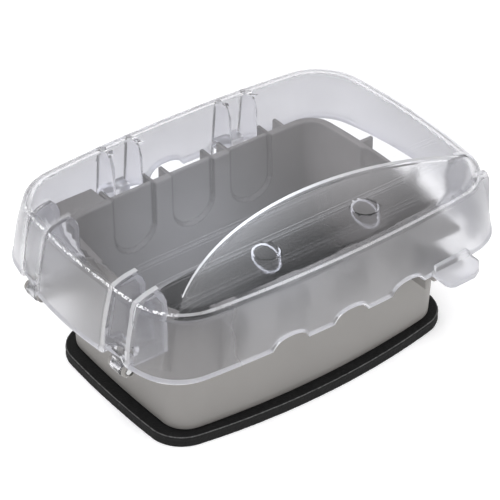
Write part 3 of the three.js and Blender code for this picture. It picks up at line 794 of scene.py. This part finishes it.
def remap(tree, value, low, high, to_low, to_high, smooth=False):
    node = tree.nodes.new("ShaderNodeMapRange")
    node.inputs["From Min"].default_value = low
    node.inputs["From Max"].default_value = high
    node.inputs["To Min"].default_value = to_low
    node.inputs["To Max"].default_value = to_high
    if smooth:
        node.interpolation_type = "SMOOTHSTEP"
    link(tree, value, node.inputs["Value"])
    return node.outputs["Result"]


def rises(tree, value, low, high):
    """0 below low and 1 above high."""
    return remap(tree, value, low, high, 0, 1)


def falls(tree, value, low, high, smooth=False):
    """1 below low and 0 above high."""
    return remap(tree, value, low, high, 1, 0, smooth)


def past(tree, value, limit):
    return rises(tree, value, limit - 0.0001, limit + 0.0001)


def short_of(tree, value, limit):
    return falls(tree, value, limit - 0.0001, limit + 0.0001)


def math_node(tree, operation, *values):
    """One math node, or a chain of them where there are more than two values."""
    node = tree.nodes.new("ShaderNodeMath")
    node.operation = operation
    for socket, value in zip(node.inputs, values[:2]):
        if isinstance(value, (int, float)):
            socket.default_value = value
        else:
            link(tree, value, socket)
    if len(values) > 2:
        return math_node(tree, operation, node.outputs["Value"], *values[2:])
    return node.outputs["Value"]


def product(tree, *values):
    return math_node(tree, "MULTIPLY", *values)


def largest(tree, *values):
    return math_node(tree, "MAXIMUM", *values)


def difference(tree, a, b):
    return math_node(tree, "SUBTRACT", a, b)


def total(tree, a, b):
    return math_node(tree, "ADD", a, b)


def absolute(tree, a):
    return math_node(tree, "ABSOLUTE", a)


def hypotenuse(tree, a, b):
    return math_node(tree, "SQRT", total(tree, product(tree, a, a), product(tree, b, b)))


def bump(tree, height, strength, distance, normal=None):
    node = tree.nodes.new("ShaderNodeBump")
    node.inputs["Strength"].default_value = strength
    node.inputs["Distance"].default_value = distance
    link(tree, height, node.inputs["Height"])
    if normal is not None:
        link(tree, normal, node.inputs["Normal"])
    return node.outputs["Normal"]


def separate(tree, vector):
    node = tree.nodes.new("ShaderNodeSeparateXYZ")
    link(tree, vector, node.inputs["Vector"])
    return node.outputs


def shade(tree, colour, value):
    """A colour made darker or lighter."""
    node = tree.nodes.new("ShaderNodeHueSaturation")
    link(tree, colour, node.inputs["Color"])
    link(tree, value, node.inputs["Value"])
    return node.outputs["Color"]


def shadow_passing(tree, shader, tint):
    """Lamps reach through the lid to what is under it."""
    path = tree.nodes.new("ShaderNodeLightPath")
    see_through = tree.nodes.new("ShaderNodeBsdfTransparent")
    see_through.inputs["Color"].default_value = (*tint, 1)
    mixer = tree.nodes.new("ShaderNodeMixShader")
    link(tree, path.outputs["Is Shadow Ray"], mixer.inputs["Fac"])
    link(tree, shader.outputs["BSDF"], mixer.inputs[1])
    link(tree, see_through.outputs["BSDF"], mixer.inputs[2])
    link(tree, mixer.outputs["Shader"], tree.nodes["Material Output"].inputs["Surface"])


# ---- clear plastic ----

# The share of light that goes straight through.
CLEAR_TOP = 0.98
CLEAR_SKIRT = 0.9
CLEAR_IOR = 1.34
SHADOW_TINT = (0.93, 0.93, 0.95)
RIB_BORDER = 0.0018  # how wide the border of a rib's flank is that is painted milky, partly haze and partly painted highlight
RIB_FLANK = 0.35  # how milky the rest of the flank is painted beside that border


def rib_marks(tree, along, across, height, middle, apart, end):
    """How milky the ribs of one side are, partly their own haze and partly a painted highlight, and how far
    each point is from the middle of a rib.
    """
    half = RIB_THICKNESS * MM / 2
    offset = absolute(tree, difference(tree, along, middle * MM))
    if apart:
        offset = absolute(tree, difference(tree, offset, apart * MM))
    offset = absolute(tree, difference(tree, offset, RIB_SPACING * MM / 2))
    # The narrow free edge, which the chamfer leads outward towards the top, painted as a milky strip: partly
    # haze, partly painted highlight.
    edge_line = remap(tree, height, 0.0640, 0.0660, end * MM - 0.0005, end * MM + 0.0032)
    inward = past(tree, difference(tree, across, edge_line), 0.0)
    strip = product(tree, falls(tree, offset, half * 0.86, half * 0.98), inward, 0.75)
    # The flank's border, painted milky as a highlight: at its free end, its top, its chamfer and along the
    # skirt.
    free_end = short_of(tree, across, end * MM + RIB_BORDER)
    top = past(tree, height, 0.0657)
    slope_across = product(tree, difference(tree, across, end * MM), 0.84)
    slope_height = product(tree, difference(tree, height, 0.0625), 0.55)
    chamfer = short_of(tree, difference(tree, slope_across, slope_height), RIB_BORDER)
    by_skirt = past(tree, total(tree, across, product(tree, height, 0.197)), 0.0840)
    border = largest(tree, free_end, top, chamfer, by_skirt, RIB_FLANK)
    flank = product(tree, falls(tree, offset, half, half * 1.04), rises(tree, offset, half * 0.96, half))
    return largest(tree, strip, product(tree, flank, border)), offset


def lens_zone(tree, axes):
    """1 on the top of the lens, and each point's distance from the centre of the lens's arc."""
    radial = hypotenuse(tree, difference(tree, axes["X"], LENS_CENTRE[0] * MM),
                        difference(tree, axes["Y"], (LENS_CENTRE[1] + SHIFT_Y) * MM))
    in_arc = falls(tree, radial, LENS_RADIUS * MM - 0.0002, LENS_RADIUS * MM + 0.0001)
    return product(tree, in_arc, rises(tree, axes["Z"], 0.0676, 0.0680)), radial


def clear_plastic():
    """Clear on top, frosted on the skirt, stippled on the lens, milky on the edges of the ribs, that
    milkiness partly haze and partly a painted highlight.
    """
    material, tree, shader = new_material("clear_polycarbonate")
    where = object_coordinates(tree)
    axes = separate(tree, where)
    y = difference(tree, axes["Y"], SHIFT_Y * MM)
    leftward = product(tree, axes["X"], -1.0)
    mottle = noise(tree, where, 60, 3)
    lens, radial = lens_zone(tree, axes)
    skirt = falls(tree, axes["Z"], 0.0645, 0.0665, smooth=True)

    left, from_rib = rib_marks(tree, y, leftward, axes["Z"], 0.0, HINGE_OFFSET, 60.0)
    right, _ = rib_marks(tree, y, axes["X"], axes["Z"], -37.5, 0.0, 61.0)
    # The ribs of the far pair are painted less milky than those of the near pair, as painted shade.
    edges = largest(tree, left, product(tree, right, 0.8))
    edges = product(tree, edges, remap(tree, y, 0.0, 0.004, 1.0, 0.45))
    # The skirt is left clear where the ribs of the hinge pairs stand, and clearer round their corner.
    corner = product(tree, falls(tree, axes["X"], -0.060, -0.038, smooth=True),
                     falls(tree, y, -0.0190, -0.0180))
    by_ribs = product(tree, falls(tree, from_rib, 0.0012, 0.0020), rises(tree, leftward, 0.058, 0.059))

    frost = product(tree, skirt, remap(tree, mottle, 0.3, 0.7, 0.285, 0.36))
    lens_rough = product(tree, lens, remap(tree, axes["X"], 0.0, 0.045, 0.13, 0.26))
    rough = largest(tree, frost, lens_rough, remap(tree, mottle, 0.4, 0.8, 0.02, 0.05))
    rough = product(tree, rough, remap(tree, corner, 0, 1, 1.0, 0.4), remap(tree, by_ribs, 0, 1, 1.0, 0.2))
    link(tree, largest(tree, rough, product(tree, edges, 0.3)), shader.inputs["Roughness"])

    # The lens grows milkier towards its arc and towards its right end.
    arc = LENS_RADIUS * MM
    milk = total(tree, remap(tree, radial, arc - 0.024, arc, -0.018, 0.09),
                 remap(tree, axes["X"], 0.02, 0.06, 0, 0.06))
    through = difference(tree, remap(tree, skirt, 0, 1, CLEAR_TOP, CLEAR_SKIRT), product(tree, lens, milk))
    through = total(tree, through, product(tree, corner, skirt, 0.07))
    # The ribs' marks make the plastic less clear there: partly haze, partly painted highlight.
    through = difference(tree, through, product(tree, edges, 0.55))
    link(tree, through, shader.inputs["Transmission Weight"])

    tint = ramp(tree, mottle, [(0.3, (0.745, 0.745, 0.77)), (0.7, (0.78, 0.78, 0.805))])
    link(tree, shade(tree, tint, remap(tree, skirt, 0, 1, 1.0, 0.9)), shader.inputs["Base Color"])
    stipple = product(tree, noise(tree, where, 1500, 2, 0.7), lens)
    surface = bump(tree, stipple, 0.5, 0.00014)
    surface = bump(tree, noise(tree, where, 35, 2), 0.02, 0.0006, surface)
    link(tree, surface, shader.inputs["Normal"])
    shader.inputs["IOR"].default_value = CLEAR_IOR
    shadow_passing(tree, shader, SHADOW_TINT)
    return material


def highlight_white(tree, shader, cloud):
    """The uneven near-white painted onto the edges as a highlight."""
    colour = ramp(tree, cloud, [(0.3, (0.86, 0.86, 0.9)), (0.7, (0.97, 0.97, 0.98))])
    link(tree, colour, shader.inputs["Base Color"])


def painted_shoulder_highlight():
    """The shoulder's round: a painted highlight, a soft light line broken into painted bright specks on the
    hinge side.
    """
    material, tree, shader = new_material("shoulder_highlight_paint")
    where = object_coordinates(tree)
    cloud = noise(tree, where, 160, 3)
    speck = noise(tree, where, 1100, 1, 0.5)
    highlight_white(tree, shader, cloud)
    link(tree, remap(tree, cloud, 0.3, 0.7, 0.1, 0.25), shader.inputs["Roughness"])
    link(tree, bump(tree, speck, 0.3, 0.0003), shader.inputs["Normal"])
    hinge_side = falls(tree, separate(tree, where)["X"], -0.068, -0.064)
    # Painted glints: near-white specks of low clarity on the hinge side.
    painted_glints = product(tree, remap(tree, speck, 0.46, 0.54, 0.95, 0.2), hinge_side)
    plain = product(tree, remap(tree, cloud, 0.3, 0.7, 0.66, 0.76), difference(tree, 1.0, hinge_side))
    link(tree, total(tree, painted_glints, plain), shader.inputs["Transmission Weight"])
    shader.inputs["IOR"].default_value = CLEAR_IOR
    shadow_passing(tree, shader, SHADOW_TINT)
    return material


def painted_edge_highlight():
    """The bead, the lens's step and the boss rims, painted near-white and less clear as a highlight for the
    light they catch.
    """
    material, tree, shader = new_material("edge_highlight_paint")
    cloud = noise(tree, object_coordinates(tree), 160, 3)
    highlight_white(tree, shader, cloud)
    link(tree, remap(tree, cloud, 0.3, 0.7, 0.12, 0.3), shader.inputs["Roughness"])
    link(tree, bump(tree, cloud, 0.15, 0.0003), shader.inputs["Normal"])
    shader.inputs["Transmission Weight"].default_value = 0.4
    shader.inputs["IOR"].default_value = 1.4
    shadow_passing(tree, shader, SHADOW_TINT)
    return material


def thin_web():
    """The boss tubes and the far side's ribs, which bend the light so little that they hardly show."""
    material, tree, shader = new_material("thin_clear_web")
    cloud = noise(tree, object_coordinates(tree), 90, 3)
    colour = ramp(tree, cloud, [(0.3, (0.93, 0.93, 0.96)), (0.7, (0.98, 0.98, 0.99))])
    link(tree, colour, shader.inputs["Base Color"])
    link(tree, remap(tree, cloud, 0.3, 0.7, 0.04, 0.12), shader.inputs["Roughness"])
    link(tree, bump(tree, cloud, 0.1, 0.0002), shader.inputs["Normal"])
    shader.inputs["Transmission Weight"].default_value = 1.0
    shader.inputs["IOR"].default_value = 1.06
    shadow_passing(tree, shader, (0.97, 0.97, 0.98))
    return material


# ---- other materials ----

def painted_panel_shade(tree, axes):
    """1 on the step round each thin panel of the far wall, where the grey is painted darker as shade: half a
    round below, straight sides above.
    """
    aside = absolute(tree, axes["X"])
    aside = math_node(tree, "MINIMUM", aside, absolute(tree, difference(tree, aside, KNOCKOUT_PITCH * MM)))
    round_height = (RIM_HEIGHT - KNOCKOUT_DEPTH + KNOCKOUT_WIDTH / 2) * MM
    below = math_node(tree, "MINIMUM", difference(tree, axes["Z"], round_height), 0.0)
    step = absolute(tree, difference(tree, hypotenuse(tree, aside, below), KNOCKOUT_WIDTH * MM / 2))
    return product(tree, falls(tree, step, 0.0004, 0.0011, smooth=True), rises(tree, axes["Y"], 0.036, 0.038))


def grey_plastic():
    material, tree, shader = new_material("moulded_grey")
    where = object_coordinates(tree)
    cloud = noise(tree, where, 28, 4)
    colour = ramp(tree, cloud, [(0.3, (0.218, 0.209, 0.2)), (0.7, (0.248, 0.238, 0.228))])
    # Painted shade: the grey is darkened to 0.62 on the step round each far panel.
    panel_shade = painted_panel_shade(tree, separate(tree, where))
    link(tree, shade(tree, colour, remap(tree, panel_shade, 0, 1, 1.0, 0.62)), shader.inputs["Base Color"])
    link(tree, remap(tree, cloud, 0.3, 0.7, 0.42, 0.54), shader.inputs["Roughness"])
    surface = bump(tree, noise(tree, where, 2200, 2, 0.6), 0.25, 0.00012)
    surface = bump(tree, noise(tree, where, 90, 3), 0.08, 0.0005, surface)
    link(tree, surface, shader.inputs["Normal"])
    shader.inputs["Specular IOR Level"].default_value = 0.5
    return material


def black_foam():
    material, tree, shader = new_material("closed_cell_foam")
    where = object_coordinates(tree)
    cells = tree.nodes.new("ShaderNodeTexVoronoi")
    cells.inputs["Scale"].default_value = 1500
    link(tree, where, cells.inputs["Vector"])
    speck = noise(tree, where, 900, 3, 0.7)
    colour = ramp(tree, speck, [(0.35, (0.0054,) * 3), (0.62, (0.0126,) * 3), (0.8, (0.0288,) * 3)])
    # The die-cut outer edge of the top face is painted lighter, in specks.
    height = separate(tree, where)["Z"]
    lighter_edge = product(tree, rises(tree, height, 0.0039, 0.00405), falls(tree, height, 0.00416, 0.00419),
                   remap(tree, speck, 0.35, 0.6, 0.4, 1.0))
    mixer = tree.nodes.new("ShaderNodeMix")
    mixer.data_type = "RGBA"
    link(tree, lighter_edge, mixer.inputs["Factor"])
    link(tree, colour, mixer.inputs["A"])
    mixer.inputs["B"].default_value = (0.12, 0.12, 0.12, 1)
    link(tree, mixer.outputs["Result"], shader.inputs["Base Color"])
    link(tree, remap(tree, speck, 0.3, 0.7, 0.7, 0.95), shader.inputs["Roughness"])
    surface = bump(tree, cells.outputs["Distance"], 0.5, 0.0002)
    surface = bump(tree, speck, 0.6, 0.0003, surface)
    link(tree, surface, shader.inputs["Normal"])
    shader.inputs["Specular IOR Level"].default_value = 0.25
    return material


def black_plastic():
    material, tree, shader = new_material("moulded_black")
    where = object_coordinates(tree)
    cloud = noise(tree, where, 40, 3)
    link(tree, ramp(tree, cloud, [(0.3, (0.012,) * 3), (0.7, (0.02,) * 3)]), shader.inputs["Base Color"])
    link(tree, remap(tree, cloud, 0.3, 0.7, 0.4, 0.55), shader.inputs["Roughness"])
    link(tree, bump(tree, noise(tree, where, 2000, 2), 0.2, 0.0001), shader.inputs["Normal"])
    return material


def steel():
    material, tree, shader = new_material("turned_steel")
    cloud = noise(tree, object_coordinates(tree), 700, 3)
    colour = ramp(tree, cloud, [(0.3, (0.5, 0.5, 0.5)), (0.7, (0.64, 0.64, 0.65))])
    link(tree, colour, shader.inputs["Base Color"])
    link(tree, remap(tree, cloud, 0.3, 0.7, 0.22, 0.38), shader.inputs["Roughness"])
    shader.inputs["Metallic"].default_value = 1.0
    return material


def paint(obj, material):
    obj.data.materials.clear()
    obj.data.materials.append(material)


# ---- camera, floor and light ----

def place_camera():
    data = bpy.data.cameras.new("camera")
    data.sensor_width = 36
    data.lens = CAMERA_LENS
    data.clip_start = 0.01
    camera = bpy.data.objects.new("camera", data)
    bpy.context.scene.collection.objects.link(camera)
    shift = Vector((0, SHIFT_Y, 0))
    camera.location = (Vector(CAMERA_PLACE) + shift) * MM
    target = (Vector(CAMERA_TARGET) + shift) * MM
    camera.rotation_euler = (target - camera.location).to_track_quat("-Z", "Y").to_euler()
    bpy.context.scene.camera = camera


def place_floor():
    mesh = bpy.data.meshes.new("floor")
    mesh.from_pydata([(-3, -3, 0), (3, -3, 0), (3, 3, 0), (-3, 3, 0)], [], [(0, 1, 2, 3)])
    floor = bpy.data.objects.new("floor", mesh)
    bpy.context.scene.collection.objects.link(floor)
    material, tree, shader = new_material("pale_floor")
    shader.inputs["Base Color"].default_value = (0.95, 0.95, 0.95, 1)
    shader.inputs["Roughness"].default_value = 0.9
    shader.inputs["Emission Color"].default_value = (1, 1, 1, 1)
    shader.inputs["Emission Strength"].default_value = 0.22
    paint(floor, material)


def place_lamp(name, kind, power, place, target):
    """A lamp that the glossy plastics don't mirror, aimed at a point."""
    data = bpy.data.lights.new(name, kind)
    data.energy = power
    lamp = bpy.data.objects.new(name, data)
    bpy.context.scene.collection.objects.link(lamp)
    lamp.visible_glossy = False
    lamp.location = place
    direction = Vector(target) - Vector(place)
    lamp.rotation_euler = direction.to_track_quat("-Z", "Y").to_euler()
    return lamp, data


def place_lights():
    """A pale surround and three large soft lamps, of which only the side one shines through plastic."""
    world = bpy.data.worlds.new("studio")
    world.use_nodes = True
    world.node_tree.nodes["Background"].inputs["Color"].default_value = (1, 1, 1, 1)
    world.node_tree.nodes["Background"].inputs["Strength"].default_value = 0.75
    bpy.context.scene.world = world
    for name, place, size, power in (
        ("key", (-0.35, -0.25, 0.9), 0.6, 5.0),
        ("side", (0.8, -0.5, 0.5), 0.6, 2.0),
        ("back", (0.1, 0.9, 0.7), 0.7, 3.0),
    ):
        lamp, data = place_lamp(name, "AREA", power, place, (0, 0, 0.04))
        data.size = size
        lamp.visible_transmission = name == "side"


def place_spots():
    """Two narrow beams into the tub: a cool one on its far wall's foot, a plain one on its right wall."""
    for name, power, angle, colour, place, target in (
        ("cool_beam", 24.0, 7.5, (0.86, 0.93, 1.0), (-0.12, -0.42, 0.48), (-0.008, 0.040, 0.020)),
        ("right_beam", 20.0, 5.5, (1.0, 1.0, 1.0), (-0.5, -0.1, 0.4), (0.057, 0.022, 0.042)),
    ):
        lamp, data = place_lamp(name, "SPOT", power, place, target)
        data.spot_size = math.radians(angle)
        data.spot_blend = 1.0
        data.shadow_soft_size = 0.02
        data.color = colour
        lamp.visible_transmission = False


# ---- assembly ----

place_camera()
place_floor()
place_lights()
place_spots()
bpy.context.scene.view_settings.view_transform = "Standard"
bpy.context.scene.cycles.transparent_max_bounces = 32
bpy.context.scene.cycles.transmission_bounces = 16
bpy.context.scene.cycles.max_bounces = 24

grey = grey_plastic()
foam = black_foam()
black = black_plastic()
metal = steel()

lid = make_lid()
paint(lid, clear_plastic())
lid.data.materials.append(painted_edge_highlight())
lid.data.materials.append(painted_shoulder_highlight())
lid.data.materials.append(thin_web())
mark_edges(lid)
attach(lid, "lid")
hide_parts("cover_lid")

tub, tub_parts = make_base()
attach(tub, "base")
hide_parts("base_housing")
for piece in [tub] + tub_parts:
    paint(piece, grey)

gasket = make_gasket()
paint(gasket, foam)
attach(gasket, "base")
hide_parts("wall_gasket")

paint(frame["nodes"]["adapter_plate"], black)
paint(frame["nodes"]["device_gasket"], foam)
paint(frame["nodes"]["gasket_knockout"], foam)
for name in ("plate_screw_left", "plate_screw_right", "hinge_pin_near", "hinge_pin_far"):
    paint(frame["nodes"][name], metal)
